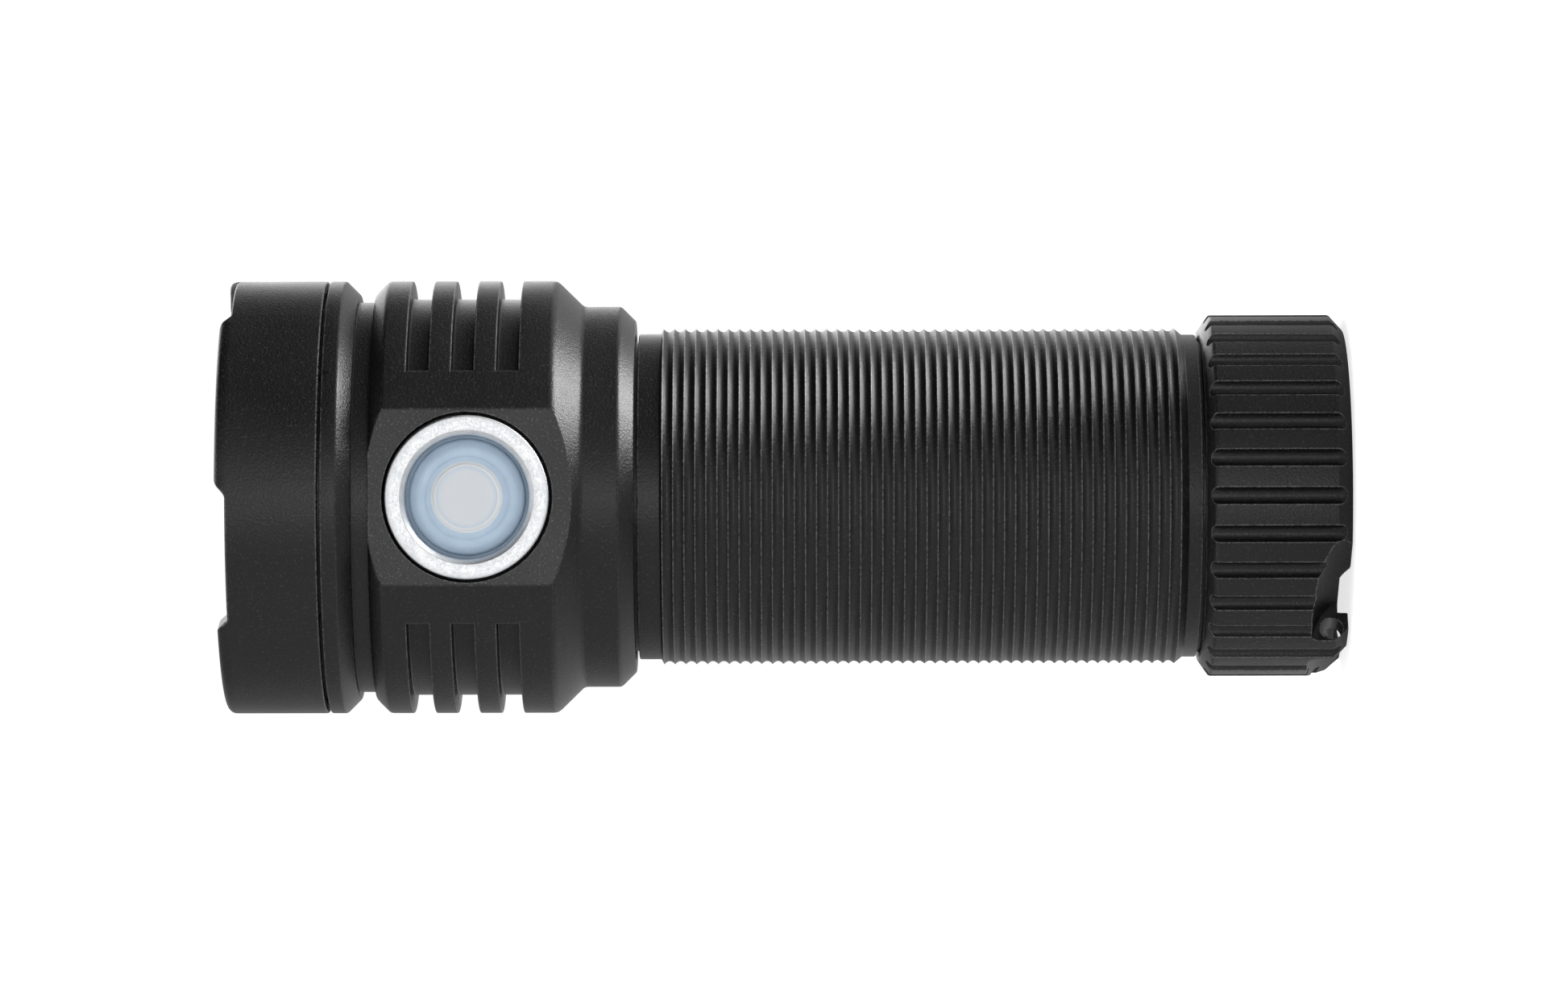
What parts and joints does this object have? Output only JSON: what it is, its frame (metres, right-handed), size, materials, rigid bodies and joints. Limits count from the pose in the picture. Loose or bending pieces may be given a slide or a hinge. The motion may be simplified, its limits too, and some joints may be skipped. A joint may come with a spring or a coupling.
{
  "type": "tactical flashlight",
  "caption": "Compact tactical flashlight with a toothed bezel, finned head, side push switch, ring-gripped battery tube and a fluted screw-on tail cap with a lanyard lug.",
  "frame": {"origin": "centre of the tail cap's flat rim, which the light stands on", "axes": "+Z along the beam towards the bezel, -Y out through the side switch, +X to the right when the switch faces the viewer and the light stands on its tail"},
  "size_m": [0.0424, 0.0424, 0.1094],
  "materials": {
    "black_anodised": "bead-blasted and hard anodised black, satin",
    "bare_aluminium": "fine turned, bright",
    "mirror_aluminium": "polished mirror",
    "lens_glass": "clear coated",
    "black_rubber": "matt",
    "red_silicone": "satin",
    "pale_silicone": "translucent satin",
    "steel": "nickel-plated",
    "brass": "bright",
    "copper_board": "copper core with a white solder mask",
    "board_green": "solder mask",
    "black_resin": "moulded",
    "white_plastic": "moulded",
    "led_phosphor": "clear dome over yellow phosphor",
    "capacitor_tan": "satin",
    "cell_electrodes": "wound foil",
    "cell_sleeve": "heat-shrink sleeve"
  },
  "bodies": {
    "light_body": {"bezel_ring": "black_anodised", "lens": "lens_glass", "lens_gasket": "black_rubber", "bezel_o_ring": "black_rubber", "reflector": "mirror_aluminium", "led_insulator": "white_plastic", "led_1": "led_phosphor", "led_2": "led_phosphor", "led_3": "led_phosphor", "led_4": "led_phosphor", "led_board": "copper_board", "led_board_screw_1": "steel", "led_board_screw_2": "steel", "led_wire_red": "red_silicone", "led_wire_black": "black_rubber", "head_body": "black_anodised", "driver_board": "board_green", "driver_inductor": "black_resin", "driver_chip": "black_resin", "driver_mosfet": "black_resin", "driver_capacitor_1": "capacitor_tan", "driver_capacitor_2": "capacitor_tan", "driver_retaining_ring": "steel", "positive_contact": "brass", "switch_ring": "bare_aluminium", "switch_board": "board_green", "tact_switch": "black_resin", "indicator_led_1": "white_plastic", "indicator_led_2": "white_plastic", "switch_wire_1": "black_rubber", "switch_wire_2": "red_silicone", "battery_tube": "black_anodised", "front_o_ring": "black_rubber", "rear_o_ring": "black_rubber"},
    "switch_button": {"switch_boot": "pale_silicone", "tact_switch_stem": "white_plastic"},
    "cell": {"cell_can": "steel", "cell_core": "cell_electrodes", "cell_wrapper": "cell_sleeve", "cell_insulator": "white_plastic", "cell_positive_cap": "steel"},
    "tail_cap_unit": {"tail_cap": "black_anodised", "tail_board": "brass", "tail_spring": "steel", "tail_retaining_ring": "steel"}
  },
  "joints": [
    {"name": "unscrew_slide", "type": "slide", "parent": "tail_cap_unit", "child": "cell", "axis": [0, 0, 1], "range_m": [0, 0.008]},
    {"name": "unscrew_turn", "type": "hinge", "parent": "cell", "child": "light_body", "pos_m": [0, 0, 0], "axis": [0, 0, 1], "range_deg": [0, 2880]},
    {"name": "switch_press", "type": "slide", "parent": "light_body", "child": "switch_button", "axis": [0, 1, 0], "range_m": [0, 0.0005], "stiffness_N_per_m": 3000}
  ],
  "couplings": [
    {"joint": "unscrew_slide", "follows": "unscrew_turn", "m_per_rad": 0.00015915}
  ]
}
